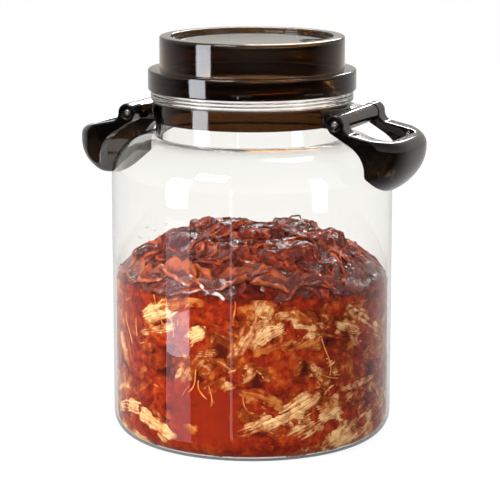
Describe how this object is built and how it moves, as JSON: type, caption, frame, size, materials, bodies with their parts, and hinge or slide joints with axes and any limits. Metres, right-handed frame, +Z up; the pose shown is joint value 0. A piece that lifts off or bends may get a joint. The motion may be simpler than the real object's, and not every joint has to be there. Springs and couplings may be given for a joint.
{
  "type": "fermentation container",
  "caption": "Clear wide-mouth jar with rounded shoulder, smoke-brown two-tier screw lid, hinged bail handles on a neck collar, and packed kimchi inside.",
  "frame": {"origin": "centre of the base, on the surface that the jar stands on", "axes": "+Z up along the jar's axis; +X towards the right-hand handle; +Y to the back"},
  "size_m": [0.2238, 0.18, 0.2573],
  "materials": {
    "clear_pet": "blown, clear, glossy",
    "smoke_plastic": "moulded, translucent smoke brown, glossy",
    "pin_steel": "drawn wire, turned ends",
    "seal_silicone": "soft, matt",
    "kimchi": "wet, fibrous, uneven"
  },
  "bodies": {
    "jar": {"jar_body": "clear_pet", "kimchi_bed": "kimchi", "handle_collar": "smoke_plastic", "pin_right": "pin_steel", "pin_left": "pin_steel"},
    "bail_right": {"handle_right": "smoke_plastic"},
    "bail_left": {"handle_left": "smoke_plastic"},
    "seal": {"lid_gasket": "seal_silicone"},
    "lid": {"lid": "smoke_plastic", "vent_valve": "seal_silicone"}
  },
  "joints": [
    {"name": "handle_right_swing", "type": "hinge", "parent": "jar", "child": "bail_right", "pos_m": [0.0704, 0, 0.2087], "axis": [0, -1, 0], "range_deg": [0, 110]},
    {"name": "handle_left_swing", "type": "hinge", "parent": "jar", "child": "bail_left", "pos_m": [-0.0704, 0, 0.2087], "axis": [0, 1, 0], "range_deg": [0, 110]},
    {"name": "lid_rise", "type": "slide", "parent": "jar", "child": "seal", "axis": [0, 0, 1], "range_m": [0, 0.0361]},
    {"name": "lid_turn", "type": "hinge", "parent": "seal", "child": "lid", "pos_m": [0, 0, 0.2348], "axis": [0, 0, 1], "range_deg": [0, 1080]}
  ],
  "couplings": [
    {"joint": "lid_rise", "follows": "lid_turn", "m_per_rad": 0.0019099}
  ]
}
